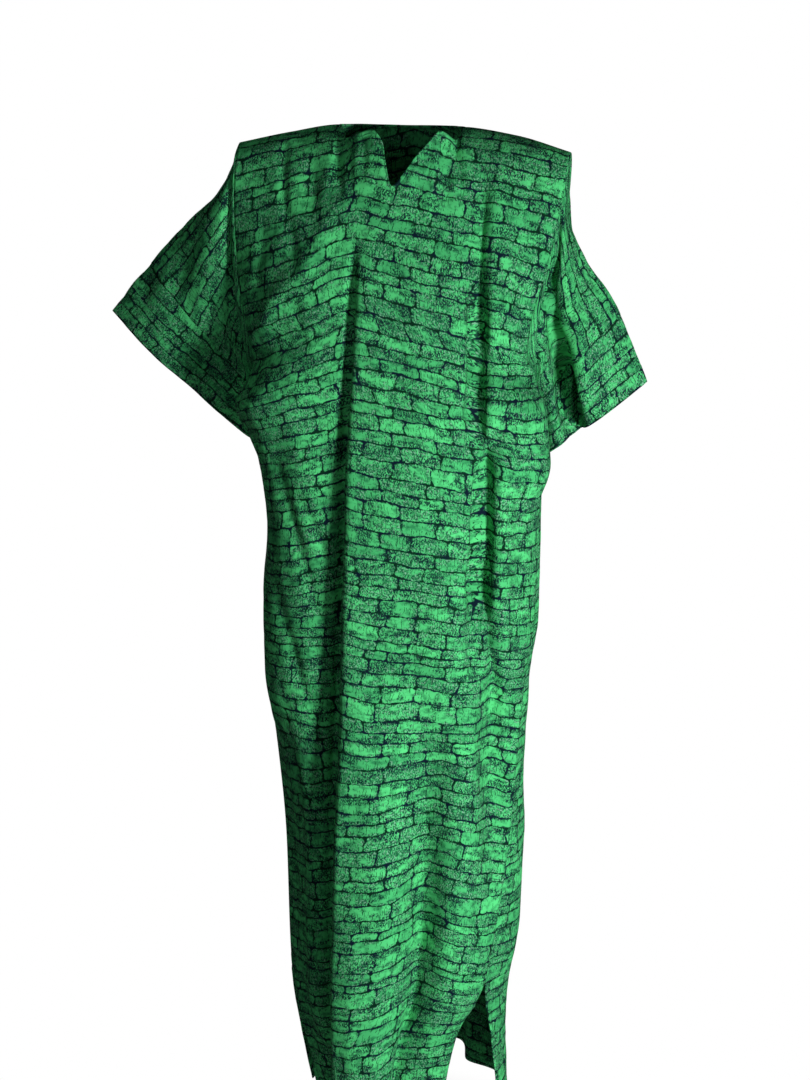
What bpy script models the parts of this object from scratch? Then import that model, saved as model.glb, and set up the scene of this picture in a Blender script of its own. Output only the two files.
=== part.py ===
"""A kaftan-cut boubou dress of printed cotton, in the shape it keeps when it is worn.

Metres, +Z up. The origin is the middle of the neck opening, level with the shoulder seams.
The front faces -Y. Right and left are the wearer's, so the right sleeve is at -X.
"""

import math

import bmesh
import bpy
import numpy as np

WALL = 0.0016
SEAM_GAP = 0.0014
ARMHOLE_GAP = 0.0019
CUFF_GAP = 0.0019
CHEST = 0.16
RIGHT_UNDERARM = 0.31
LEFT_UNDERARM = 0.29
BAND_START = 0.70
ROW_BEND = 1.1
FLATNESS = 1.2
SEAM_FADE = 0.12
SLEEVE_SWELL = 0.75
EDGE_FADE = 0.3

FRONT_COLUMNS = (
    (0.0, 9), (0.31, 1), (0.34, 2), (0.385, 1), (0.425, 1), (0.45, 1), (0.475, 1), (0.497, 1),
    (0.53, 1), (0.56, 1), (0.59, 1), (0.625, 1), (0.66, 1), (0.69, 9),
)
BACK_COLUMNS = ((0.0, 7), (0.31, 8), (0.69, 7))
YOKE_ROWS = 5
BODY_ROWS = (
    0.205, 0.25, 0.29, 0.31, 0.35, 0.40, 0.47, 0.54, 0.62, 0.70, 0.78,
    0.86, 0.94, 1.02, 1.10, 1.16, 1.22, 1.27, 1.32, 1.38, 1.45,
)
SLEEVE_ROWS = 6
BAND_ROWS = 3
RING_POINTS = 13


def table(columns, *rows):
    """Rows of sizes as a dictionary with one array for each named column."""
    return dict(zip(columns.split(), np.array(rows, float).T))


# Sections of the body, by the cloth's length down from the shoulder seam.
MIDDLE = table(
    "down   front_x  front_y   front_z   back_x  back_y  back_z   front_crest  back_crest",
    (0.16, -0.004, -0.106, -0.125, -0.004, 0.088, -0.125, -0.050, 0.0),
    (0.25, -0.004, -0.133, -0.210, -0.004, 0.104, -0.210, -0.052, 0.0),
    (0.35, -0.004, -0.150, -0.308, -0.004, 0.110, -0.308, -0.055, 0.0),
    (0.47, -0.005, -0.158, -0.427, -0.005, 0.108, -0.425, -0.058, 0.0),
    (0.60, -0.006, -0.162, -0.556, -0.006, 0.108, -0.550, -0.062, 0.0),
    (0.80, -0.008, -0.168, -0.755, -0.010, 0.116, -0.740, -0.050, 0.0),
    (1.00, -0.008, -0.174, -0.954, -0.008, 0.118, -0.930, -0.020, 0.0),
    (1.20, -0.010, -0.179, -1.153, -0.005, 0.116, -1.115, -0.010, 0.0),
    (1.45, -0.020, -0.184, -1.400, 0.000, 0.112, -1.348, -0.010, 0.0),
)

# The side edges. The shifts open the armhole above and the slit below, and turn is the
# angle in degrees through which the cloth bends from the middle of the panel to its edge.
SIDE_COLUMNS = (
    "down  x  y  height  front_turn  back_turn  front_shift_x  front_shift_y  back_shift_x  back_shift_y"
)
RIGHT_SIDE = table(
    SIDE_COLUMNS,
    (0.16, -0.222, 0.005, -0.180, 58, 58, 0, -0.048, 0, 0.045),
    (0.20, -0.216, 0.003, -0.221, 62, 60, 0, -0.056, 0, 0.052),
    (0.25, -0.208, 0.000, -0.268, 66, 66, 0, -0.050, 0, 0.046),
    (0.29, -0.204, -0.006, -0.307, 78, 76, 0, -0.024, 0, 0.026),
    (0.31, -0.206, -0.010, -0.326, 96, 80, 0, 0, 0, 0),
    (0.35, -0.208, -0.012, -0.363, 112, 80, 0, 0, 0, 0),
    (0.40, -0.203, -0.014, -0.410, 102, 83, 0, 0, 0, 0),
    (0.44, -0.196, -0.016, -0.447, 94, 86, 0, 0, 0, 0),
    (0.47, -0.193, -0.018, -0.474, 92, 88, 0, 0, 0, 0),
    (0.54, -0.190, -0.020, -0.534, 88, 92, 0, 0, 0, 0),
    (0.66, -0.198, -0.020, -0.636, 86, 94, 0, 0, 0, 0),
    (0.78, -0.197, -0.020, -0.743, 86, 94, 0, 0, 0, 0),
    (0.90, -0.183, -0.020, -0.857, 86, 94, 0, 0, 0, 0),
    (1.05, -0.171, -0.020, -1.004, 86, 94, 0, 0, 0, 0),
    (1.22, -0.167, -0.022, -1.173, 86, 94, 0, 0, 0, 0),
    (1.32, -0.158, -0.024, -1.272, 84, 94, 0.004, -0.010, -0.003, 0.010),
    (1.45, -0.135, -0.026, -1.402, 80, 94, 0.012, -0.022, -0.006, 0.020),
)
LEFT_SIDE = table(
    SIDE_COLUMNS,
    (0.16, 0.194, 0.000, -0.202, 58, 58, -0.004, -0.048, 0.006, 0.048),
    (0.20, 0.185, -0.002, -0.242, 62, 62, -0.006, -0.056, 0.006, 0.054),
    (0.25, 0.177, -0.006, -0.288, 68, 72, -0.005, -0.044, 0.004, 0.042),
    (0.29, 0.172, -0.010, -0.325, 88, 80, 0, 0, 0, 0),
    (0.34, 0.176, -0.012, -0.371, 110, 80, 0, 0, 0, 0),
    (0.39, 0.185, -0.015, -0.418, 106, 82, 0, 0, 0, 0),
    (0.43, 0.193, -0.018, -0.454, 98, 86, 0, 0, 0, 0),
    (0.48, 0.190, -0.022, -0.499, 90, 92, 0, 0, 0, 0),
    (0.54, 0.188, -0.025, -0.552, 86, 94, 0, 0, 0, 0),
    (0.66, 0.186, -0.032, -0.655, 82, 98, 0, 0, 0, 0),
    (0.78, 0.174, -0.040, -0.753, 78, 101, 0, 0, 0, 0),
    (0.90, 0.166, -0.048, -0.863, 75, 105, 0, 0, 0, 0),
    (1.05, 0.155, -0.068, -1.006, 68, 115, 0, 0, 0, 0),
    (1.22, 0.131, -0.090, -1.173, 60, 124, 0, 0, 0, 0),
    (1.32, 0.113, -0.086, -1.272, 56, 116, -0.025, -0.014, 0.024, 0.016),
    (1.45, 0.104, -0.072, -1.402, 50, 108, -0.042, -0.020, 0.044, 0.024),
)

# Top edges, by the share of the panel's width from its right edge. The slope is how far
# below level the cloth sets off from the edge, in degrees.
FRONT_TOP = table(
    "share  x  y  z  slope",
    (0.000, -0.225, 0.000, -0.021, 14),
    (0.155, -0.156, 0.000, -0.007, 8),
    (0.310, -0.087, 0.000, 0.003, 12),
    (0.340, -0.074, -0.032, -0.014, 38),
    (0.385, -0.053, -0.058, -0.007, 60),
    (0.425, -0.032, -0.072, -0.002, 74),
    (0.450, -0.017, -0.080, -0.018, 74),
    (0.475, -0.012, -0.085, -0.044, 72),
    (0.497, -0.003, -0.091, -0.073, 70),
    (0.530, 0.014, -0.088, -0.054, 70),
    (0.560, 0.027, -0.085, -0.036, 72),
    (0.590, 0.041, -0.079, -0.020, 72),
    (0.625, 0.058, -0.069, -0.003, 70),
    (0.660, 0.073, -0.036, -0.016, 42),
    (0.690, 0.080, 0.000, 0.000, 12),
    (0.845, 0.151, 0.000, -0.011, 8),
    (1.000, 0.221, 0.000, -0.032, 14),
)
BACK_TOP = table(
    "share  x  y  z  slope",
    (0.000, -0.225, 0.000, -0.021, 14),
    (0.155, -0.156, 0.000, -0.007, 8),
    (0.310, -0.087, 0.000, 0.003, 12),
    (0.360, -0.066, 0.034, 0.003, 40),
    (0.430, -0.036, 0.052, 0.002, 58),
    (0.500, -0.002, 0.058, 0.001, 62),
    (0.570, 0.032, 0.052, 0.001, 58),
    (0.640, 0.062, 0.034, 0.001, 40),
    (0.690, 0.080, 0.000, 0.000, 12),
    (0.845, 0.151, 0.000, -0.011, 8),
    (1.000, 0.221, 0.000, -0.032, 14),
)

# Folds of a panel: where each lies, how far in it goes, and how wide it is to each side.
FOLD_COLUMNS = "down  x  depth  to_right  to_left"
FRONT_FOLDS = {
    "main valley": table(
        FOLD_COLUMNS,
        (0.16, -0.050, 0.003, 0.050, 0.020),
        (0.25, -0.055, 0.013, 0.050, 0.012),
        (0.47, -0.066, 0.022, 0.055, 0.011),
        (0.60, -0.072, 0.028, 0.060, 0.011),
        (0.80, -0.082, 0.045, 0.060, 0.012),
        (1.00, -0.092, 0.062, 0.055, 0.012),
        (1.20, -0.100, 0.078, 0.045, 0.012),
        (1.45, -0.104, 0.092, 0.035, 0.012),
    ),
    "bust valley": table(
        FOLD_COLUMNS,
        (0.16, 0.104, 0.003, 0.014, 0.014),
        (0.27, 0.117, 0.012, 0.013, 0.011),
        (0.39, 0.112, 0.014, 0.013, 0.010),
        (0.46, 0.103, 0.006, 0.013, 0.012),
        (0.52, 0.098, 0.000, 0.013, 0.012),
        (1.45, 0.098, 0.000, 0.013, 0.012),
    ),
    "hip valley": table(
        FOLD_COLUMNS,
        (0.16, 0.126, 0.000, 0.012, 0.014),
        (0.38, 0.126, 0.000, 0.012, 0.014),
        (0.46, 0.127, 0.010, 0.010, 0.014),
        (0.58, 0.128, 0.014, 0.012, 0.014),
        (0.70, 0.120, 0.014, 0.016, 0.018),
        (0.80, 0.146, 0.016, 0.020, 0.014),
        (0.98, 0.146, 0.014, 0.018, 0.014),
        (1.14, 0.142, 0.000, 0.016, 0.014),
        (1.45, 0.142, 0.000, 0.016, 0.014),
    ),
    "hem valley": table(
        FOLD_COLUMNS,
        (0.16, 0.055, 0.000, 0.050, 0.030),
        (0.70, 0.055, 0.000, 0.050, 0.030),
        (0.80, 0.056, 0.012, 0.048, 0.030),
        (0.90, 0.058, 0.028, 0.042, 0.030),
        (1.00, 0.058, 0.042, 0.036, 0.030),
        (1.12, 0.058, 0.052, 0.032, 0.028),
        (1.25, 0.050, 0.054, 0.032, 0.024),
        (1.45, 0.030, 0.052, 0.030, 0.020),
    ),
    "underarm ridge": table(
        FOLD_COLUMNS,
        (0.16, -0.100, -0.006, 0.025, 0.025),
        (0.21, -0.140, -0.009, 0.025, 0.025),
        (0.27, -0.190, -0.006, 0.025, 0.025),
        (0.33, -0.215, 0.000, 0.025, 0.025),
        (1.45, -0.215, 0.000, 0.025, 0.025),
    ),
}
BACK_FOLDS = {
    "right valley": table(
        FOLD_COLUMNS,
        (0.16, -0.110, 0.000, 0.030, 0.030),
        (0.45, -0.105, 0.010, 0.035, 0.022),
        (0.80, -0.100, 0.028, 0.040, 0.020),
        (1.45, -0.088, 0.046, 0.035, 0.018),
    ),
    "middle valley": table(
        FOLD_COLUMNS,
        (0.16, 0.010, 0.000, 0.030, 0.030),
        (0.55, 0.012, 0.008, 0.024, 0.030),
        (0.90, 0.018, 0.024, 0.022, 0.034),
        (1.45, 0.026, 0.040, 0.020, 0.034),
    ),
    "left valley": table(
        FOLD_COLUMNS,
        (0.16, 0.112, 0.000, 0.030, 0.030),
        (0.40, 0.116, 0.012, 0.020, 0.026),
        (0.85, 0.112, 0.020, 0.020, 0.030),
        (1.45, 0.106, 0.036, 0.018, 0.026),
    ),
}

# Rings of a sleeve from the armhole (0) to the cuff edge (1): its upper and lower folded
# edges, and how far its front and its back stand out between them.
SLEEVE_COLUMNS = "along  top_x  top_y  top_z  low_x  low_y  low_z  front  back"
RIGHT_SLEEVE = table(
    SLEEVE_COLUMNS,
    (0.12, -0.244, 0.003, -0.072, -0.211, -0.004, -0.324, 0.058, 0.052),
    (0.40, -0.308, 0.020, -0.130, -0.217, 0.006, -0.334, 0.046, 0.044),
    (0.70, -0.366, 0.038, -0.188, -0.222, 0.014, -0.350, 0.032, 0.030),
    (1.00, -0.431, 0.058, -0.258, -0.226, 0.022, -0.429, 0.026, 0.024),
)
LEFT_SLEEVE = table(
    SLEEVE_COLUMNS,
    (0.12, 0.216, 0.000, -0.096, 0.178, -0.006, -0.327, 0.054, 0.050),
    (0.40, 0.245, 0.008, -0.168, 0.180, 0.004, -0.338, 0.050, 0.044),
    (0.70, 0.290, 0.012, -0.246, 0.181, 0.018, -0.358, 0.044, 0.036),
    (1.00, 0.328, 0.014, -0.336, 0.194, 0.030, -0.442, 0.034, 0.024),
)
ARMHOLE_SPREAD = 0.008

# Folds of a sleeve's front: how far from the upper edge to the lower one, then as above.
SLEEVE_FOLD_COLUMNS = "along  place  depth  to_top  to_low"
RIGHT_SLEEVE_FOLDS = {
    "panel hollow": table(
        SLEEVE_FOLD_COLUMNS,
        (0.00, 0.55, 0.000, 0.25, 0.20),
        (0.20, 0.58, 0.012, 0.25, 0.20),
        (0.70, 0.66, 0.012, 0.25, 0.20),
        (1.00, 0.66, 0.008, 0.25, 0.20),
    ),
}
LEFT_SLEEVE_FOLDS = {
    "trough": table(
        SLEEVE_FOLD_COLUMNS,
        (0.00, 0.45, 0.000, 0.10, 0.16),
        (0.15, 0.50, 0.016, 0.08, 0.14),
        (0.40, 0.62, 0.034, 0.07, 0.13),
        (0.70, 0.68, 0.042, 0.06, 0.12),
        (1.00, 0.66, 0.044, 0.06, 0.12),
    ),
}


def curve(places, values, at):
    """Values between the rows of a table, along a smooth curve that never overshoots them."""
    steps = np.diff(places)
    rises = np.diff(values) / steps
    slopes = np.zeros(len(values))
    both = rises[:-1] * rises[1:] > 0
    harmonic = 2 * rises[:-1] * rises[1:] / np.where(both, rises[:-1] + rises[1:], 1)
    slopes[1:-1] = np.where(both, harmonic, 0)
    slopes[0], slopes[-1] = rises[0], rises[-1]
    at = np.clip(at, places[0], places[-1])
    i = np.clip(np.searchsorted(places, at, side="right") - 1, 0, len(steps) - 1)
    t = (at - places[i]) / steps[i]
    start = (1 + 2 * t) * (1 - t) ** 2 * values[i] + t * (1 - t) ** 2 * steps[i] * slopes[i]
    end = t * t * (3 - 2 * t) * values[i + 1] - t * t * (1 - t) * steps[i] * slopes[i + 1]
    return start + end


def reader(rows):
    """A function that reads any column of a table between its rows."""
    places = next(iter(rows.values()))
    return lambda column, at: curve(places, rows[column], at)


def lengths(points):
    """How far along a line of points each of them lies."""
    return np.concatenate([[0], np.cumsum(np.linalg.norm(np.diff(points, axis=0), axis=1))])


def resampled(points, shares):
    """Points at these shares of the length of a line of points."""
    along = lengths(points)
    return np.stack([np.interp(shares * along[-1], along, axis) for axis in points.T], -1)


def shares_of(columns):
    """Shares of a panel's width with a column at each named corner of its top edge."""
    starts = [start for start, _ in columns] + [1.0]
    parts = [
        np.linspace(start, end, count, endpoint=False)
        for (start, count), end in zip(columns, starts[1:])
    ]
    return np.append(np.concatenate(parts), 1.0)


def fold_depth(folds, down, x):
    """How far the folds of a panel push it in, at the points of one section."""
    total = np.zeros_like(x)
    for rows in folds.values():
        read = reader(rows)
        off = x - read("x", down)
        width = np.where(off < 0, read("to_right", down), read("to_left", down))
        total += read("depth", down) * np.exp(-((off / width) ** 2))
    return total


def section(face, folds, down, shares):
    """One level section of a panel, from its right edge to its left one."""
    middle = reader(MIDDLE)
    across = np.linspace(-1, 1, 401)
    x0, y0, z0 = (middle(name, down) for name in (face + "_x", face + "_y", face + "_z"))
    crest = middle(face + "_crest", down)
    points = np.empty((len(across), 3))
    for half, side in ((across <= 0, RIGHT_SIDE), (across >= 0, LEFT_SIDE)):
        read = reader(side)
        turn = math.radians(read(face + "_turn", down))
        edge_x = read("x", down) + read(face + "_shift_x", down)
        edge_y = read("y", down) + read(face + "_shift_y", down)
        angle = np.abs(across[half]) * turn
        points[half, 0] = x0 + (edge_x - x0) * np.sin(angle) / math.sin(turn)
        bend = (1 - np.cos(angle)) / (1 - math.cos(turn))
        points[half, 1] = y0 + (edge_y - y0) * bend**FLATNESS
    for half, side in ((points[:, 0] <= crest, RIGHT_SIDE), (points[:, 0] > crest, LEFT_SIDE)):
        read = reader(side)
        edge_x = read("x", down) + read(face + "_shift_x", down)
        away = np.abs((points[half, 0] - crest) / (edge_x - crest))
        points[half, 2] = z0 + (read("height", down) - z0) * away**ROW_BEND
    tangent = np.gradient(points[:, :2], axis=0)
    tangent /= np.linalg.norm(tangent, axis=1, keepdims=True)
    inward = np.stack([-tangent[:, 1], tangent[:, 0]], -1) * (1 if face == "front" else -1)
    # The folds die out at the seams, where two panels share one line.
    depth = fold_depth(folds, down, points[:, 0]) * np.clip((1 - np.abs(across)) / SEAM_FADE, 0, 1)
    points[:, :2] += inward * depth[:, None]
    return resampled(points, shares)


def yoke(top, chest, below, shares):
    """Rows from the top edge of a panel down to its chest section, eased into the cloth below."""
    read = reader(top)
    start = np.stack([read(axis, shares) for axis in "xyz"], -1)
    slope = np.radians(read("slope", shares))
    facing = np.sign(chest[:, 1].mean())
    away = np.stack([np.zeros_like(slope), facing * np.cos(slope), -np.sin(slope)], -1)
    reach = np.linalg.norm(chest - start, axis=1, keepdims=True)
    onward = (below - chest) / np.linalg.norm(below - chest, axis=1, keepdims=True)
    rows = []
    for t in np.linspace(0, 1, YOKE_ROWS + 1)[:-1]:
        rows.append(
            (1 + 2 * t) * (1 - t) ** 2 * start
            + t * (1 - t) ** 2 * reach * away
            + t * t * (3 - 2 * t) * chest
            - t * t * (1 - t) * reach * onward
        )
    return rows


def panel(face, top, folds, columns):
    """The rows of points of a whole panel, from its top edge to its hem."""
    shares = shares_of(columns)
    rows = [section(face, folds, down, shares) for down in (CHEST, *BODY_ROWS)]
    return np.array(yoke(top, rows[0], rows[1], shares) + rows)


def trimmed(grid):
    """The panel less the seam gap along its top and its sides."""
    grid = grid.copy()
    for edge, inner in ((grid[0], grid[1]), (grid[:, 0], grid[:, 1]), (grid[:, -1], grid[:, -2])):
        way = inner - edge
        edge += way / np.linalg.norm(way, axis=1, keepdims=True) * SEAM_GAP / 2
    return grid


def armhole(front, back, column, underarm):
    """The armhole ring: down the front panel's edge and up the back panel's."""
    underarm = YOKE_ROWS + 1 + BODY_ROWS.index(underarm)
    shares = np.linspace(0, 1, RING_POINTS)
    down = resampled(front[: underarm + 1, column], shares)
    up = resampled(back[underarm::-1, column], shares)
    return np.concatenate([down, up[1:-1]])


def sleeve_fold_depth(folds, along, place):
    """How far the folds of a sleeve push its front in, at the points of one ring."""
    total = np.zeros_like(place)
    for rows in folds.values():
        read = reader(rows)
        off = place - read("place", along)
        width = np.where(off < 0, read("to_top", along), read("to_low", along))
        total += read("depth", along) * np.exp(-((off / width) ** 2))
    return total * np.sin(math.pi * place) ** EDGE_FADE


def sleeve_ring(rows, folds, along):
    """One ring of a sleeve: a flattened tube between its upper and its lower edge."""
    read = reader(rows)
    top = np.array([read("top_" + axis, along) for axis in "xyz"])
    low = np.array([read("low_" + axis, along) for axis in "xyz"])
    place = np.linspace(0, 1, RING_POINTS)
    swell = np.sin(math.pi * place) ** SLEEVE_SWELL
    middle = top + (low - top) * place[:, None]
    front = middle.copy()
    front[:, 1] -= read("front", along) * swell - sleeve_fold_depth(folds, along, place)
    back = middle[::-1].copy()
    back[:, 1] += read("back", along) * swell
    return np.concatenate([front, back[1:-1]])


def spread_armhole(start, rows):
    """The first ring out of the armhole: the same loop, let down at the top and spread outwards."""
    top = np.array([rows["top_" + axis][0] for axis in "xyz"])
    low = np.array([rows["low_" + axis][0] for axis in "xyz"])
    half = np.linspace(0, 1, RING_POINTS)
    place = np.concatenate([half, half[-2:0:-1]])[:, None]
    ring = start + (top - start[0]) * (1 - place) ** 3 + (low - start[RING_POINTS - 1]) * place**3
    ring[:, 0] += math.copysign(ARMHOLE_SPREAD, top[0]) * np.sin(math.pi * place[:, 0])
    return ring


def sleeve(start, rows, folds):
    """The rings of a whole sleeve, each point on a smooth line from armhole to cuff."""
    keys = np.append(0.0, rows["along"])
    rings = [start, spread_armhole(start, rows)]
    rings += [sleeve_ring(rows, folds, along) for along in keys[2:]]
    rings = np.array(rings)
    stations = np.concatenate(
        [
            np.linspace(0, BAND_START, SLEEVE_ROWS + 1),
            np.linspace(BAND_START, 1, BAND_ROWS + 1)[1:],
        ]
    )
    flat = rings.reshape(len(keys), -1)
    lines = np.stack([curve(keys, line, stations) for line in flat.T], -1)
    return lines.reshape(len(stations), len(start), 3)


def moved_on(ring, onward, gap):
    """A ring moved this far towards the next one."""
    way = onward - ring
    return ring + way / np.linalg.norm(way, axis=1, keepdims=True) * gap


def cloth(name, grid, closed, colour):
    """A wall of cloth on a grid of points, with rows that close into rings or stay open."""
    rows, columns, _ = grid.shape
    shape = bmesh.new()
    points = [shape.verts.new(point) for point in grid.reshape(-1, 3)]
    spans = columns if closed else columns - 1
    for row in range(rows - 1):
        for column in range(spans):
            after = (column + 1) % columns
            corners = ((row, column), (row + 1, column), (row + 1, after), (row, after))
            shape.faces.new([points[i * columns + j] for i, j in corners])
    for face in shape.faces:
        face.smooth = True
    mesh = bpy.data.meshes.new(name)
    shape.to_mesh(mesh)
    shape.free()
    piece = bpy.data.objects.new(name, mesh)
    bpy.context.scene.collection.objects.link(piece)
    wall = piece.modifiers.new("wall", "SOLIDIFY")
    wall.thickness = WALL
    wall.offset = 0
    wall.use_even_offset = True
    wall.thickness_clamp = 1
    mesh.materials.append(cotton(name, colour))
    return piece


def cotton(name, colour):
    """The plain matt cotton of one piece."""
    material = bpy.data.materials.new(name)
    material.use_nodes = True
    surface = material.node_tree.nodes["Principled BSDF"]
    surface.inputs["Base Color"].default_value = (*colour, 1)
    surface.inputs["Roughness"].default_value = 0.85
    surface.inputs["Metallic"].default_value = 0
    material.diffuse_color = (*colour, 1)
    return material


def main():
    for old in list(bpy.data.objects):
        bpy.data.objects.remove(old)
    front = panel("front", FRONT_TOP, FRONT_FOLDS, FRONT_COLUMNS)
    back = panel("back", BACK_TOP, BACK_FOLDS, BACK_COLUMNS)
    cloth("body_front", trimmed(front), False, (0.05, 0.42, 0.14))
    cloth("body_back", trimmed(back)[:, ::-1], False, (0.04, 0.34, 0.12))
    for side, column, underarm, rows, folds in (
        ("right", 0, RIGHT_UNDERARM, RIGHT_SLEEVE, RIGHT_SLEEVE_FOLDS),
        ("left", -1, LEFT_UNDERARM, LEFT_SLEEVE, LEFT_SLEEVE_FOLDS),
    ):
        rings = sleeve(armhole(front, back, column, underarm), rows, folds)
        rings[0] = moved_on(rings[0], rings[1], ARMHOLE_GAP)
        band = rings[SLEEVE_ROWS:].copy()
        upper = rings[: SLEEVE_ROWS + 1]
        upper[-1] = moved_on(upper[-1], upper[-2], CUFF_GAP / 2)
        band[0] = moved_on(band[0], band[1], CUFF_GAP / 2)
        cloth("sleeve_" + side, upper, True, (0.04, 0.36, 0.16))
        cloth("cuff_" + side, band, True, (0.03, 0.28, 0.14))


main()
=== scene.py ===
"""A kaftan-cut boubou dress of printed cotton, as it looks when it is worn.

The frame gives the dress its place and size. Each piece of cloth here follows the same
sections and folds as its solid, with many more points and with the small creases of the
cloth, which are listed one by one. Metres, +Z up. The front faces -Y, and the dress's right
sleeve is at -X.
"""

import math

import bpy
import numpy as np
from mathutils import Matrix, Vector, noise


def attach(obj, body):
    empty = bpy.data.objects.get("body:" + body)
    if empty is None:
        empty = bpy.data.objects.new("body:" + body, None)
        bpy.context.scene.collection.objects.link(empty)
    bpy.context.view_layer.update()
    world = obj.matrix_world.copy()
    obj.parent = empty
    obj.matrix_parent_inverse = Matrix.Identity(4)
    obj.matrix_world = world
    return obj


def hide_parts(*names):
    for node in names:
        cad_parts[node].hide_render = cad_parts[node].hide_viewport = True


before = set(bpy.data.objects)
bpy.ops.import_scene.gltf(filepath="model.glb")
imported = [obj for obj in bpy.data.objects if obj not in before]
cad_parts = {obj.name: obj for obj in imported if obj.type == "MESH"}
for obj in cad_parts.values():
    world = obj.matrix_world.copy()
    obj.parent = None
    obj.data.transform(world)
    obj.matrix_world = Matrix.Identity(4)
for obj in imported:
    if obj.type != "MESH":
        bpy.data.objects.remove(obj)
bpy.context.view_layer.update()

# The cloth, one layer and two, and the depths of its turned edges.
CLOTH = 0.0010
HEM_CLOTH = 0.0020
HEM_TURN = 0.020
SLIT_TURN = 0.010
NECK_TURN = 0.006
CUFF_TURN = 0.025
SLEEVE_TURN = 0.001
TURN_EDGE = 0.0015

# Places down the cloth from the shoulder seam, and a sleeve's share before its band.
CHEST = 0.16
RIGHT_UNDERARM = 0.31
LEFT_UNDERARM = 0.29
SLIT_TOP = 1.24
HEM = 1.45
BAND_START = 0.70
NECK_SHARES = (0.31, 0.69)

# How the sections, the yoke's rows and the sleeves bend, and how folds fade at seams.
ROW_BEND = 1.1
FLATNESS = 1.2
SEAM_FADE = 0.12
SLEEVE_SWELL = 0.75
EDGE_FADE = 0.3
ARMHOLE_SPREAD = 0.008
YOKE_EASE = 1.15

# The tuck of a sleeve beside its armhole seam.
TUCK_DEPTH = 0.011
TUCK_PLACE = 0.020
TUCK_WIDTH = 0.011

# Creases fade over these lengths from seams and from the neck edge, where the length
# grows from the first to the second with the share of the width from the middle.
SEAM_CALM = 0.020
ARMHOLE_CALM = 0.015
NECK_CALM = (0.006, 0.020)
NECK_CALM_SHARES = (0.15, 0.19)
CREASE_END = 0.02
CREASE_ROUND = 0.6

# Points of the grids.
PANEL_COLUMNS = 161
YOKE_ROWS = 44
BODY_ROWS = 232
ARMHOLE_SHARE = 0.11
UNDERARM_ROWS = 4
SLEEVE_ROWS = 60
BAND_ROWS = 30
RING_POINTS = 105
FINE = 2001

# Where the print starts on each panel and tube, and how many columns soften its rows.
PRINT_MIDDLE = 0.55
SLEEVE_PRINT = 0.31
BAND_PRINT = 0.17
SOFT_COLUMNS = 41
BAKE_MARGIN = 0.01


def table(columns, *rows):
    """Rows of sizes as one array for each named column. A short row ends in zeros."""
    names = columns.split()
    filled = [row + (0,) * (len(names) - len(row)) for row in rows]
    return dict(zip(names, np.array(filled, float).T))


# Sections of the body, by the cloth's length down from the shoulder seam.
MIDDLE = table(
    "down   front_x  front_y   front_z   back_x  back_y  back_z   front_crest  back_crest",
    (0.16, -0.004, -0.106, -0.125, -0.004, 0.088, -0.125, -0.05),
    (0.25, -0.004, -0.133, -0.21, -0.004, 0.104, -0.21, -0.052),
    (0.35, -0.004, -0.15, -0.308, -0.004, 0.11, -0.308, -0.055),
    (0.47, -0.005, -0.158, -0.427, -0.005, 0.108, -0.425, -0.058),
    (0.6, -0.006, -0.162, -0.556, -0.006, 0.108, -0.55, -0.062),
    (0.8, -0.008, -0.168, -0.755, -0.01, 0.116, -0.74, -0.05),
    (1, -0.008, -0.174, -0.954, -0.008, 0.118, -0.93, -0.02),
    (1.2, -0.01, -0.179, -1.153, -0.005, 0.116, -1.115, -0.01),
    (1.45, -0.02, -0.184, -1.4, 0, 0.112, -1.348, -0.01),
)

# The side edges. The shifts open the armhole above and the slit below, and turn is the
# angle in degrees through which the cloth bends from the middle of the panel to its edge.
SIDE_COLUMNS = (
    "down  x  y  height  front_turn  back_turn  front_shift_x  front_shift_y  back_shift_x  back_shift_y"
)
RIGHT_SIDE = table(
    SIDE_COLUMNS,
    (0.16, -0.222, 0.005, -0.18, 58, 58, 0, -0.048, 0, 0.045),
    (0.2, -0.216, 0.003, -0.221, 62, 60, 0, -0.056, 0, 0.052),
    (0.25, -0.208, 0, -0.268, 66, 66, 0, -0.05, 0, 0.046),
    (0.29, -0.204, -0.006, -0.307, 78, 76, 0, -0.024, 0, 0.026),
    (0.31, -0.206, -0.01, -0.326, 96, 80),
    (0.35, -0.208, -0.012, -0.363, 112, 80),
    (0.4, -0.203, -0.014, -0.41, 102, 83),
    (0.44, -0.196, -0.016, -0.447, 94, 86),
    (0.47, -0.193, -0.018, -0.474, 92, 88),
    (0.54, -0.19, -0.02, -0.534, 88, 92),
    (0.66, -0.198, -0.02, -0.636, 86, 94),
    (0.78, -0.197, -0.02, -0.743, 86, 94),
    (0.9, -0.183, -0.02, -0.857, 86, 94),
    (1.05, -0.171, -0.02, -1.004, 86, 94),
    (1.22, -0.167, -0.022, -1.173, 86, 94),
    (1.32, -0.158, -0.024, -1.272, 84, 94, 0.004, -0.01, -0.003, 0.01),
    (1.45, -0.135, -0.026, -1.402, 80, 94, 0.012, -0.022, -0.006, 0.02),
)
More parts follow.
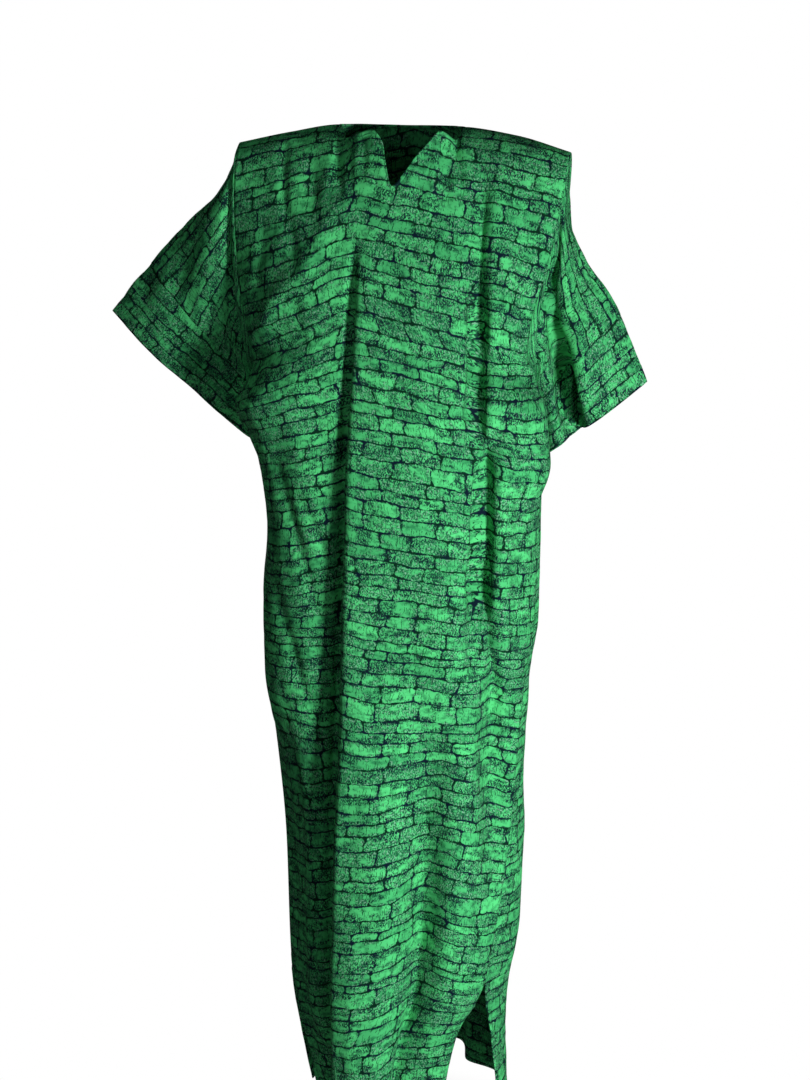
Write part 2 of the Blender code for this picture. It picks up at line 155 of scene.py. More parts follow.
LEFT_SIDE = table(
    SIDE_COLUMNS,
    (0.16, 0.194, 0, -0.202, 58, 58, -0.004, -0.048, 0.006, 0.048),
    (0.2, 0.185, -0.002, -0.242, 62, 62, -0.006, -0.056, 0.006, 0.054),
    (0.25, 0.177, -0.006, -0.288, 68, 72, -0.005, -0.044, 0.004, 0.042),
    (0.29, 0.172, -0.01, -0.325, 88, 80),
    (0.34, 0.176, -0.012, -0.371, 110, 80),
    (0.39, 0.185, -0.015, -0.418, 106, 82),
    (0.43, 0.193, -0.018, -0.454, 98, 86),
    (0.48, 0.19, -0.022, -0.499, 90, 92),
    (0.54, 0.188, -0.025, -0.552, 86, 94),
    (0.66, 0.186, -0.032, -0.655, 82, 98),
    (0.78, 0.174, -0.04, -0.753, 78, 101),
    (0.9, 0.166, -0.048, -0.863, 75, 105),
    (1.05, 0.155, -0.068, -1.006, 68, 115),
    (1.22, 0.131, -0.09, -1.173, 60, 124),
    (1.32, 0.113, -0.086, -1.272, 56, 116, -0.025, -0.014, 0.024, 0.016),
    (1.45, 0.104, -0.072, -1.402, 50, 108, -0.042, -0.02, 0.044, 0.024),
)

# Top edges, by the share of the panel's width from its right edge. The slope is how far
# below level the cloth sets off from the edge, in degrees.
TOP_COLUMNS = "share  x  y  z  slope"
RIGHT_SHOULDER = (
    (0, -0.225, 0, -0.021, 14),
    (0.155, -0.156, 0, -0.007, 8),
    (0.31, -0.087, 0, 0.003, 12),
)
LEFT_SHOULDER = (
    (0.69, 0.08, 0, 0, 12),
    (0.845, 0.151, 0, -0.011, 8),
    (1, 0.221, 0, -0.032, 14),
)
FRONT_TOP = table(
    TOP_COLUMNS,
    *RIGHT_SHOULDER,
    (0.34, -0.074, -0.032, -0.014, 38),
    (0.385, -0.053, -0.058, -0.007, 60),
    (0.425, -0.032, -0.072, -0.002, 74),
    (0.45, -0.017, -0.08, -0.018, 74),
    (0.475, -0.012, -0.085, -0.044, 72),
    (0.497, -0.003, -0.091, -0.073, 70),
    (0.53, 0.014, -0.088, -0.054, 70),
    (0.56, 0.027, -0.085, -0.036, 72),
    (0.59, 0.041, -0.079, -0.02, 72),
    (0.625, 0.058, -0.069, -0.003, 70),
    (0.66, 0.073, -0.036, -0.016, 42),
    *LEFT_SHOULDER,
)
BACK_TOP = table(
    TOP_COLUMNS,
    *RIGHT_SHOULDER,
    (0.36, -0.066, 0.034, 0.003, 40),
    (0.43, -0.036, 0.052, 0.002, 58),
    (0.5, -0.002, 0.058, 0.001, 62),
    (0.57, 0.032, 0.052, 0.001, 58),
    (0.64, 0.062, 0.034, 0.001, 40),
    *LEFT_SHOULDER,
)

# Folds of a panel: where each lies, how far in it goes, and how wide it is to each side.
FOLD_COLUMNS = "down  x  depth  to_right  to_left"
FRONT_FOLDS = {
    "main valley": table(
        FOLD_COLUMNS,
        (0.16, -0.05, 0.003, 0.05, 0.02),
        (0.25, -0.055, 0.013, 0.05, 0.012),
        (0.47, -0.066, 0.022, 0.055, 0.011),
        (0.6, -0.072, 0.028, 0.06, 0.011),
        (0.8, -0.082, 0.045, 0.06, 0.012),
        (1, -0.092, 0.062, 0.055, 0.012),
        (1.2, -0.1, 0.078, 0.045, 0.012),
        (1.45, -0.104, 0.092, 0.035, 0.012),
    ),
    "bust valley": table(
        FOLD_COLUMNS,
        (0.16, 0.104, 0.003, 0.014, 0.014),
        (0.27, 0.117, 0.012, 0.013, 0.011),
        (0.39, 0.112, 0.014, 0.013, 0.01),
        (0.46, 0.103, 0.006, 0.013, 0.012),
        (0.52, 0.098, 0, 0.013, 0.012),
        (1.45, 0.098, 0, 0.013, 0.012),
    ),
    "hip valley": table(
        FOLD_COLUMNS,
        (0.16, 0.126, 0, 0.012, 0.014),
        (0.38, 0.126, 0, 0.012, 0.014),
        (0.46, 0.127, 0.01, 0.01, 0.014),
        (0.58, 0.128, 0.014, 0.012, 0.014),
        (0.7, 0.12, 0.014, 0.016, 0.018),
        (0.8, 0.146, 0.016, 0.02, 0.014),
        (0.98, 0.146, 0.014, 0.018, 0.014),
        (1.14, 0.142, 0, 0.016, 0.014),
        (1.45, 0.142, 0, 0.016, 0.014),
    ),
    "hem valley": table(
        FOLD_COLUMNS,
        (0.16, 0.055, 0, 0.05, 0.03),
        (0.7, 0.055, 0, 0.05, 0.03),
        (0.8, 0.056, 0.012, 0.048, 0.03),
        (0.9, 0.058, 0.028, 0.042, 0.03),
        (1, 0.058, 0.042, 0.036, 0.03),
        (1.12, 0.058, 0.052, 0.032, 0.028),
        (1.25, 0.05, 0.054, 0.032, 0.024),
        (1.45, 0.03, 0.052, 0.03, 0.02),
    ),
    "underarm ridge": table(
        FOLD_COLUMNS,
        (0.16, -0.1, -0.006, 0.025, 0.025),
        (0.21, -0.14, -0.009, 0.025, 0.025),
        (0.27, -0.19, -0.006, 0.025, 0.025),
        (0.33, -0.215, 0, 0.025, 0.025),
        (1.45, -0.215, 0, 0.025, 0.025),
    ),
}
BACK_FOLDS = {
    "right valley": table(
        FOLD_COLUMNS,
        (0.16, -0.11, 0, 0.03, 0.03),
        (0.45, -0.105, 0.01, 0.035, 0.022),
        (0.8, -0.1, 0.028, 0.04, 0.02),
        (1.45, -0.088, 0.046, 0.035, 0.018),
    ),
    "middle valley": table(
        FOLD_COLUMNS,
        (0.16, 0.01, 0, 0.03, 0.03),
        (0.55, 0.012, 0.008, 0.024, 0.03),
        (0.9, 0.018, 0.024, 0.022, 0.034),
        (1.45, 0.026, 0.04, 0.02, 0.034),
    ),
    "left valley": table(
        FOLD_COLUMNS,
        (0.16, 0.112, 0, 0.03, 0.03),
        (0.4, 0.116, 0.012, 0.02, 0.026),
        (0.85, 0.112, 0.02, 0.02, 0.03),
        (1.45, 0.106, 0.036, 0.018, 0.026),
    ),
}

# Rings of a sleeve from the armhole (0) to the cuff edge (1): its upper and lower folded
# edges, and how far its front and its back stand out between them.
SLEEVE_COLUMNS = "along  top_x  top_y  top_z  low_x  low_y  low_z  front  back"
RIGHT_SLEEVE = table(
    SLEEVE_COLUMNS,
    (0.12, -0.244, 0.003, -0.072, -0.211, -0.004, -0.324, 0.058, 0.052),
    (0.4, -0.308, 0.02, -0.13, -0.217, 0.006, -0.334, 0.046, 0.044),
    (0.7, -0.366, 0.038, -0.188, -0.222, 0.014, -0.35, 0.032, 0.03),
    (1, -0.431, 0.058, -0.258, -0.226, 0.022, -0.429, 0.026, 0.024),
)
LEFT_SLEEVE = table(
    SLEEVE_COLUMNS,
    (0.12, 0.216, 0, -0.096, 0.178, -0.006, -0.327, 0.054, 0.05),
    (0.4, 0.245, 0.008, -0.168, 0.18, 0.004, -0.338, 0.05, 0.044),
    (0.7, 0.29, 0.012, -0.246, 0.181, 0.018, -0.358, 0.044, 0.036),
    (1, 0.328, 0.014, -0.336, 0.194, 0.03, -0.442, 0.034, 0.024),
)

# Folds of a sleeve's front: how far from the upper edge to the lower one, then as above.
SLEEVE_FOLD_COLUMNS = "along  place  depth  to_top  to_low"
RIGHT_SLEEVE_FOLDS = {
    "panel hollow": table(
        SLEEVE_FOLD_COLUMNS,
        (0, 0.55, 0, 0.25, 0.2),
        (0.2, 0.58, 0.012, 0.25, 0.2),
        (0.7, 0.66, 0.012, 0.25, 0.2),
        (1, 0.66, 0.008, 0.25, 0.2),
    ),
}
LEFT_SLEEVE_FOLDS = {
    "trough": table(
        SLEEVE_FOLD_COLUMNS,
        (0, 0.45, 0, 0.1, 0.16),
        (0.15, 0.5, 0.016, 0.08, 0.14),
        (0.4, 0.62, 0.034, 0.07, 0.13),
        (0.7, 0.68, 0.042, 0.06, 0.12),
        (1, 0.66, 0.044, 0.06, 0.12),
    ),
}

# How the print's rows lean on the front, beside the cloth's own rows: fall over width, at
# these places across the dress.
LEAN_PLACES = np.array((-0.16, -0.10, -0.05, 0.00, 0.05, 0.10, 0.16))
ROW_LEAN = table(
    "down  far_right  right  valley  middle  past_middle  left  far_left",
    (0.16, 0, 0.05, 0, 0.12, 0.08, 0.15, 0),
    (0.32, 0, 0, 0.12, 0.1, 0.11, 0.08, 0.05),
    (0.47, -0.15, -0.12, 0.05, 0.1, 0.05, 0.05, 0.05),
    (0.63, 0, 0.08, 0.07, 0.06, 0.08, -0.05, -0.15),
    (0.78, 0, -0.05, -0.2, 0.08, 0.08, -0.1, -0.38),
    (0.94, 0.2, 0.1, 0.05, 0.13, 0.1, -0.28, -0.45),
    (1.1, 0.22, 0.1, 0.1, 0.22, 0.05, -0.42, -0.42),
    (1.26, 0.2, 0.05, 0.15, 0.24, 0.1, -0.5, -0.6),
    (1.45, 0.2, 0.05, 0.15, 0.24, 0.1, -0.5, -0.6),
)

# Small creases, as seen from the front: a soft trough, or a ridge where the depth is
# below zero, from one end to the other.
CREASE_COLUMNS = "from_x  from_z  to_x  to_z  depth  width"
FRONT_CREASES = table(
    CREASE_COLUMNS,
    (0.17, -0.268, 0.193, -0.49, -0.0125, 0.023),
    (-0.158, -0.02, -0.148, -0.125, 0.005, 0.007),
    (-0.146, -0.1, -0.128, -0.19, 0.004, 0.008),
    (-0.118, -0.03, -0.104, -0.12, 0.003, 0.009),
    (-0.088, -0.01, -0.07, -0.09, 0.0046, 0.006),
    (-0.07, -0.008, -0.056, -0.085, 0.0024, 0.006),
    (-0.048, 0, -0.04, -0.06, 0.0022, 0.006),
    (-0.03, -0.02, -0.02, -0.1, 0.0016, 0.006),
    (-0.092, -0.046, -0.028, -0.064, 0.0024, 0.005),
    (-0.084, -0.074, -0.018, -0.09, 0.002, 0.005),
    (0.03, -0.062, 0.104, -0.056, 0.002, 0.005),
    (0.046, -0.09, 0.122, -0.08, 0.002, 0.006),
    (0.036, -0.02, 0.03, -0.11, 0.0036, 0.006),
    (0.049, -0.005, 0.042, -0.085, 0.0044, 0.005),
    (0.062, -0.002, 0.068, -0.085, 0.0064, 0.005),
    (0.074, -0.02, 0.094, -0.11, 0.0046, 0.006),
    (0.128, -0.03, 0.118, -0.15, 0.003, 0.009),
    (0.18, -0.05, 0.172, -0.15, 0.0034, 0.009),
    (-0.178, -0.1, -0.19, -0.24, 0.0034, 0.009),
    (-0.135, -0.21, -0.1, -0.33, 0.003, 0.009),
    (-0.165, -0.3, -0.11, -0.38, 0.003, 0.01),
    (-0.05, -0.15, -0.056, -0.33, 0.01, 0.006),
    (-0.054, -0.29, -0.064, -0.44, 0.012, 0.006),
    (-0.061, -0.38, -0.071, -0.66, 0.013, 0.006),
    (-0.069, -0.6, -0.088, -0.95, 0.011, 0.006),
    (-0.086, -0.9, -0.1, -1.395, 0.007, 0.006),
    (0.112, -0.05, 0.114, -0.3, 0.014, 0.01),
    (0.116, -0.15, 0.112, -0.43, 0.016, 0.01),
    (0.126, -0.37, 0.126, -0.66, 0.021, 0.013),
    (0.131, -0.4, 0.13, -0.6, 0.006, 0.005),
    (0.114, -0.56, 0.144, -0.7, 0.02, 0.012),
    (0.142, -0.65, 0.145, -0.93, 0.021, 0.012),
    (0.15, -0.6, 0.134, -0.76, 0.006, 0.009),
    (0.118, -0.76, 0.13, -0.9, 0.005, 0.01),
    (0.172, -0.43, 0.166, -0.7, 0.006, 0.009),
    (0.164, -0.68, 0.156, -0.98, 0.006, 0.009),
    (0.15, -0.9, 0.14, -1.16, 0.006, 0.009),
    (0.138, -0.86, 0.12, -1.15, 0.006, 0.012),
    (0.15, -0.24, 0.12, -0.33, 0.005, 0.009),
    (0.155, -0.36, 0.124, -0.45, 0.005, 0.008),
    (0.16, -0.52, 0.13, -0.6, -0.004, 0.01),
    (0.09, -0.44, 0.11, -0.62, 0.0035, 0.012),
    (-0.165, -0.42, -0.1, -0.64, 0.0065, 0.011),
    (-0.13, -0.47, -0.085, -0.56, 0.005, 0.008),
    (-0.172, -0.6, -0.108, -0.8, 0.006, 0.011),
    (-0.155, -0.78, -0.125, -1.1, 0.007, 0.013),
    (-0.14, -1.04, -0.135, -1.385, 0.008, 0.013),
    (-0.118, -0.175, -0.18, -0.285, -0.001, 0.012),
    (-0.105, -0.13, -0.175, -0.27, 0.004, 0.016),
    (-0.15, -0.23, -0.085, -0.42, 0.003, 0.014),
    (-0.075, -0.06, -0.12, -0.16, 0.0022, 0.01),
    (-0.16, -0.06, -0.175, -0.19, 0.002, 0.012),
    (0.1, -0.06, 0.125, -0.2, 0.0025, 0.011),
    (0.165, -0.06, 0.16, -0.2, 0.0025, 0.013),
    (0.04, -0.11, 0.095, -0.26, 0.002, 0.014),
    (-0.01, -0.12, 0.01, -0.3, 0.0016, 0.016),
    (0.15, -0.3, 0.06, -0.42, 0.0026, 0.015),
    (0.165, -0.34, 0.105, -0.52, 0.003, 0.013),
    (0.02, -0.48, 0.04, -0.76, 0.0022, 0.018),
    (-0.02, -0.62, -0.005, -0.98, 0.0024, 0.016),
    (0.07, -0.56, 0.06, -0.86, -0.0022, 0.016),
    (-0.15, -0.48, -0.13, -0.82, 0.0034, 0.016),
    (-0.17, -0.76, -0.145, -1.18, 0.004, 0.014),
    (-0.12, -0.9, -0.125, -1.3, -0.003, 0.012),
    (0.12, -0.62, 0.105, -0.7, 0.003, 0.01),
    (0.02, -1, -0.005, -1.38, 0.003, 0.014),
    (-0.045, -1.02, -0.05, -1.39, -0.0026, 0.014),
)
BACK_CREASES = table(
    CREASE_COLUMNS,
    (-0.14, -0.11, -0.08, -0.33, 0.0032, 0.014),
    (0.13, -0.1, 0.08, -0.3, 0.003, 0.015),
    (-0.04, -0.08, -0.06, -0.32, 0.002, 0.016),
    (0.04, -0.06, 0.055, -0.38, 0.0022, 0.018),
    (-0.15, -0.42, -0.15, -0.86, 0.0034, 0.016),
    (0.06, -0.52, 0.066, -1, 0.003, 0.016),
    (-0.045, -0.56, -0.03, -1.2, 0.0034, 0.015),
    (0.15, -0.5, 0.15, -0.96, 0.003, 0.014),
    (-0.13, -0.9, -0.12, -1.32, -0.003, 0.013),
    (0.075, -1.04, 0.07, -1.33, -0.003, 0.014),
)
SLEEVE_CREASES = {
    "right": table(
        CREASE_COLUMNS,
        (-0.24, -0.11, -0.25, -0.33, 0.0036, 0.012),
        (-0.275, -0.14, -0.33, -0.24, 0.0026, 0.012),
        (-0.235, -0.18, -0.3, -0.33, 0.003, 0.012),
        (-0.33, -0.2, -0.39, -0.28, -0.002, 0.012),
    ),
    "left": table(
        CREASE_COLUMNS,
        (0.225, -0.1, 0.25, -0.2, 0.0026, 0.01),
        (0.201, -0.165, 0.216, -0.29, 0.016, 0.011),
        (0.213, -0.24, 0.228, -0.42, 0.019, 0.012),
        (0.236, -0.235, 0.25, -0.37, -0.008, 0.01),
        (0.262, -0.21, 0.285, -0.33, -0.0024, 0.01),
        (0.205, -0.17, 0.215, -0.29, 0.003, 0.01),
    ),
}

# Random unevenness of the cloth: its length along z, its length in the plan, its height,
# and what it adds to a piece's seed.
RUMPLES = (
    (0.16, 0.045, 0.0034, 0),
    (0.05, 0.03, 0.0014, 31),
    (0.018, 0.014, 0.0005, 67),
)

# Where the columns lie closer: share of the width, spread, and how much closer.
FRONT_FINER = ((0.38, 0.07, 1.6), (0.76, 0.06, 0.8), (0.50, 0.06, 0.5))
BACK_FINER = ((0.50, 0.30, 0.3),)


def blend(t, start, set_off, end, arrive):
    """A smooth way from start to end as t goes from 0 to 1, with its slopes at both."""
    first = (1 + 2 * t) * (1 - t) ** 2 * start + t * (1 - t) ** 2 * set_off
    return first + (t * t * (3 - 2 * t) * end - t * t * (1 - t) * arrive)


def curve(places, values, at):
    """Values between the rows of a table, along a smooth curve that never overshoots them."""
    steps = np.diff(places)
    rises = np.diff(values) / steps
    slopes = np.zeros(len(values))
    both = rises[:-1] * rises[1:] > 0
    harmonic = 2 * rises[:-1] * rises[1:] / np.where(both, rises[:-1] + rises[1:], 1)
    slopes[1:-1] = np.where(both, harmonic, 0)
    slopes[0], slopes[-1] = rises[0], rises[-1]
    at = np.clip(at, places[0], places[-1])
    i = np.clip(np.searchsorted(places, at, side="right") - 1, 0, len(steps) - 1)
    t = (at - places[i]) / steps[i]
    return blend(t, values[i], steps[i] * slopes[i], values[i + 1], steps[i] * slopes[i + 1])


def reader(rows):
    """A function that reads any column of a table between its rows."""
    places = next(iter(rows.values()))
    return lambda column, at: curve(places, rows[column], at)


def along_rows(grid):
    """How far along its row each point of a grid lies."""
    steps = np.linalg.norm(np.diff(grid, axis=1), axis=2)
    return np.concatenate([np.zeros((len(grid), 1)), np.cumsum(steps, axis=1)], axis=1)


def resampled(points, shares):
    """Points at these shares of the length of a line of points."""
    along = along_rows(points[None])[0]
    return np.stack([np.interp(shares * along[-1], along, axis) for axis in points.T], -1)


def fold_depth(folds, at, places):
    """How far the folds push the cloth in at the places along one section or ring."""
    total = np.zeros_like(places)
    for rows in folds.values():
        where, *columns = rows.values()
        place, depth, before, after = (curve(where, column, at) for column in columns)
        off = places - place
        total += depth * np.exp(-((off / np.where(off < 0, before, after)) ** 2))
    return total


def section(face, folds, down, shares):
    """One section of a panel along the cloth's rows, from its right edge to its left one."""
    middle = reader(MIDDLE)
    across = np.linspace(-1, 1, FINE)
    x0, y0, z0, crest = (middle(face + name, down) for name in ("_x", "_y", "_z", "_crest"))
    points = np.empty((FINE, 3))
    for half, side in ((across <= 0, RIGHT_SIDE), (across >= 0, LEFT_SIDE)):
        read = reader(side)
        turn = math.radians(read(face + "_turn", down))
        edge_x = read("x", down) + read(face + "_shift_x", down)
        edge_y = read("y", down) + read(face + "_shift_y", down)
        angle = np.abs(across[half]) * turn
        points[half, 0] = x0 + (edge_x - x0) * np.sin(angle) / math.sin(turn)
        bend = (1 - np.cos(angle)) / (1 - math.cos(turn))
        points[half, 1] = y0 + (edge_y - y0) * bend**FLATNESS
    for half, side in ((points[:, 0] <= crest, RIGHT_SIDE), (points[:, 0] > crest, LEFT_SIDE)):
        read = reader(side)
        edge_x = read("x", down) + read(face + "_shift_x", down)
        away = np.abs((points[half, 0] - crest) / (edge_x - crest))
        points[half, 2] = z0 + (read("height", down) - z0) * away**ROW_BEND
    tangent = np.gradient(points[:, :2], axis=0)
    tangent /= np.linalg.norm(tangent, axis=1, keepdims=True)
    inward = np.stack([-tangent[:, 1], tangent[:, 0]], -1) * (1 if face == "front" else -1)
    # The folds die out at the seams, where two panels share one line.
    fade = np.clip((1 - np.abs(across)) / SEAM_FADE, 0, 1)
    depth = fold_depth(folds, down, points[:, 0]) * fade
    points[:, :2] += inward * depth[:, None]
    return resampled(points, shares)


def yoke(top, chest, below, shares):
    """Rows from the top edge of a panel down to its chest section, eased into the cloth below."""
    read = reader(top)
    start = np.stack([read(axis, shares) for axis in "xyz"], -1)
    slope = np.radians(read("slope", shares))
    facing = np.sign(chest[:, 1].mean())
    away = np.stack([np.zeros_like(slope), facing * np.cos(slope), -np.sin(slope)], -1)
    reach = np.linalg.norm(chest - start, axis=1, keepdims=True)
    onward = (below - chest) / np.linalg.norm(below - chest, axis=1, keepdims=True)
    steps = np.linspace(0, 1, YOKE_ROWS + 1)[:-1] ** YOKE_EASE
    return [blend(t, start, reach * away, chest, reach * onward) for t in steps]


def grid_normals(grid, closed=False):
    """The way each point of a grid faces."""
    if closed:
        wrapped = np.concatenate([grid[:, -1:], grid, grid[:, :1]], axis=1)
        across = np.gradient(wrapped, axis=1)[:, 1:-1]
    else:
        across = np.gradient(grid, axis=1)
    facing = np.cross(across, np.gradient(grid, axis=0))
    return facing / np.maximum(np.linalg.norm(facing, axis=2, keepdims=True), 1e-9)


def crease_depth(creases, x, z):
    """How far the small creases push the cloth in at these places."""
    total = np.zeros_like(x)
    for from_x, from_z, to_x, to_z, depth, width in zip(*creases.values()):
        way = np.array([to_x - from_x, to_z - from_z])
        span = way @ way
        t = ((x - from_x) * way[0] + (z - from_z) * way[1]) / span
        inside = np.clip(t, 0, 1)
        off = np.hypot(x - from_x - inside * way[0], z - from_z - inside * way[1])
        ends = np.sin(math.pi * np.clip(inside, CREASE_END, 1 - CREASE_END)) ** CREASE_ROUND
        total += depth * np.exp(-((off / width) ** 2)) * ends
    return total


def rumple(grid, along, across, height, seed):
    """Smooth random unevenness: its lengths along z and in the plan, and its height."""
    places = grid.reshape(-1, 3) / (across, across, along) + (0, 0, seed)
    values = [noise.noise(Vector(place)) for place in places]
    return np.array(values).reshape(grid.shape[:2]) * height


def creased(grid, creases, seed, outward, calm, closed=False):
    """The grid with its small creases and unevenness, less of both where calm is near 1."""
    depth = crease_depth(creases, grid[..., 0], grid[..., 2])
    for along, across, height, more in RUMPLES:
        depth += rumple(grid, along, across, height, seed + more)
    return grid - outward * grid_normals(grid, closed) * (depth * (1 - calm))[..., None]


def column_shares(finer):
    """The columns of a panel by their share of its width, closer where its folds are sharp."""
    shares = np.linspace(0, 1, FINE)
    closeness = np.ones(FINE)
    for place, spread, more in finer:
        closeness += more * np.exp(-(((shares - place) / spread) ** 2))
    total = np.append(0, np.cumsum((closeness[1:] + closeness[:-1]) / 2))
    return np.interp(np.linspace(0, total[-1], PANEL_COLUMNS), total, shares)


def panel(face, top, folds, shares):
    """The rows of points of a whole panel and how far down the cloth each row is."""
    first = int(BODY_ROWS * ARMHOLE_SHARE)
    last = BODY_ROWS - first - UNDERARM_ROWS
    downs = np.linspace(CHEST, LEFT_UNDERARM, first + 1)
    for start, end, count in (
        (LEFT_UNDERARM, RIGHT_UNDERARM, UNDERARM_ROWS),
        (RIGHT_UNDERARM, HEM, last),
    ):
        downs = np.append(downs, np.linspace(start, end, count + 1)[1:])
    rows = [section(face, folds, down, shares) for down in downs]
    grid = np.array(yoke(top, rows[0], rows[1], shares) + rows)
    return grid, np.concatenate([np.zeros(YOKE_ROWS), downs])


def panel_map(grid, downs, shares):
    """Places on the uncut cloth: along the print's rows, and down from the shoulder."""
    along = along_rows(grid)
    along -= along[:, np.argmin(np.abs(shares - PRINT_MIDDLE))][:, None]
    along[:YOKE_ROWS] = along[YOKE_ROWS]
    down = np.repeat(downs[:, None], grid.shape[1], axis=1)
    up = np.linalg.norm(np.diff(grid[: YOKE_ROWS + 1], axis=0), axis=2)
    down[:YOKE_ROWS] = CHEST - np.cumsum(up[::-1], axis=0)[::-1]
    return np.stack([along, down], -1)


def leaning(grid, flat, downs):
    """The print's places on the front panel, with its rows leaning across the folds."""
    read = reader(ROW_LEAN)
    names = list(ROW_LEAN)[1:]
    leant = flat.copy()
    for row, down in enumerate(downs):
        slopes = np.array([read(name, down) for name in names])
        x = grid[row, :, 0]
        lean = curve(LEAN_PLACES, slopes, x)
        fall = np.append(0, np.cumsum((lean[1:] + lean[:-1]) / 2 * np.diff(x)))
        leant[row, :, 1] += fall - np.interp(0.0, x, fall)
    return leant


def softened(grid, flat):
    """The print's places on the back panel, with its rows bent softly over the middle."""
    weights = np.hanning(SOFT_COLUMNS + 2)[1:-1]
    weights /= weights.sum()
    bent = flat.copy()
    for row, heights in enumerate(grid[..., 2]):
        wide = np.pad(heights, SOFT_COLUMNS // 2, mode="reflect", reflect_type="odd")
        bent[row, :, 1] += np.convolve(wide, weights, mode="valid") - heights
    return bent


def panel_edges(grid, downs, flat, shares):
    """How far each point lies from the nearest turned edge, and how far along that edge."""
    far = np.full(grid.shape[:2], 1.0)
    hem = flat[-1:, :, 1] - flat[..., 1]
    from_right = flat[..., 0] - flat[:, :1, 0]
    from_left = flat[:, -1:, 0] - flat[..., 0]
    open_slit = (downs > SLIT_TOP)[:, None]
    slit = np.where(open_slit, np.minimum(from_right, from_left), far)
    at_neck = (shares > NECK_SHARES[0]) & (shares < NECK_SHARES[1])
    neck = np.where(at_neck[None, :], flat[..., 1] - flat[:1, :, 1], far)
    # Slit and neck are turned less deep, so their distances are made longer by the rest.
    slit_or_hem = np.minimum(hem, slit + HEM_TURN - SLIT_TURN)
    distance = np.minimum(slit_or_hem, neck + HEM_TURN - NECK_TURN)
    on_hem = hem <= slit
    return np.stack([np.where(on_hem, flat[..., 0], flat[..., 1]), distance], -1)


def armhole(front, back, column, underarm, place):
    """The armhole ring: down the front panel's edge and up the back panel's."""
    down = resampled(front[: underarm + 1, column], place)
    up = resampled(back[: underarm + 1, column], place)[::-1]
    return np.concatenate([down, up[1:-1]])


def sleeve_ring(rows, folds, along, place):
    """One ring of a sleeve: a flattened tube between its upper and its lower edge."""
    read = reader(rows)
    top = np.array([read("top_" + axis, along) for axis in "xyz"])
    low = np.array([read("low_" + axis, along) for axis in "xyz"])
    swell = np.sin(math.pi * place) ** SLEEVE_SWELL
    middle = top + (low - top) * place[:, None]
    fold = fold_depth(folds, along, place) * np.sin(math.pi * place) ** EDGE_FADE
    front = middle.copy()
    front[:, 1] -= read("front", along) * swell - fold
    back = middle[::-1].copy()
    back[:, 1] += read("back", along) * swell[::-1]
    return np.concatenate([front, back[1:-1]])


def spread_armhole(start, rows, place):
    """The first ring out of the armhole: the same loop, let down at the top and spread outwards."""
    top = np.array([rows["top_" + axis][0] for axis in "xyz"])
    low = np.array([rows["low_" + axis][0] for axis in "xyz"])
    around = np.concatenate([place, place[-2:0:-1]])[:, None]
    top_move, low_move = top - start[0], low - start[RING_POINTS - 1]
    ring = start + top_move * (1 - around) ** 3 + low_move * around**3
    ring[:, 0] += math.copysign(ARMHOLE_SPREAD, top[0]) * np.sin(math.pi * around[:, 0])
    return ring


def sleeve(start, rows, folds, place):
    """The rings of a whole sleeve, each point on a smooth line from armhole to cuff."""
    keys = np.append(0.0, rows["along"])
    rings = [start, spread_armhole(start, rows, place)]
    rings += [sleeve_ring(rows, folds, along, place) for along in keys[2:]]
    flat = np.array(rings).reshape(len(keys), -1)
    upper = np.linspace(0, BAND_START, SLEEVE_ROWS + 1)
    stations = np.append(upper, np.linspace(BAND_START, 1, BAND_ROWS + 1)[1:])
    lines = np.stack([curve(keys, line, stations) for line in flat.T], -1)
    return lines.reshape(len(stations), len(start), 3)


def ring_map(rings):
    """Places on a sleeve's uncut cloth: around it, and out from its cuff edge."""
    closed = np.concatenate([rings, rings[:, :1]], axis=1)
    out = along_rows(closed.swapaxes(0, 1)).T
    return along_rows(closed), out[-1:] - out


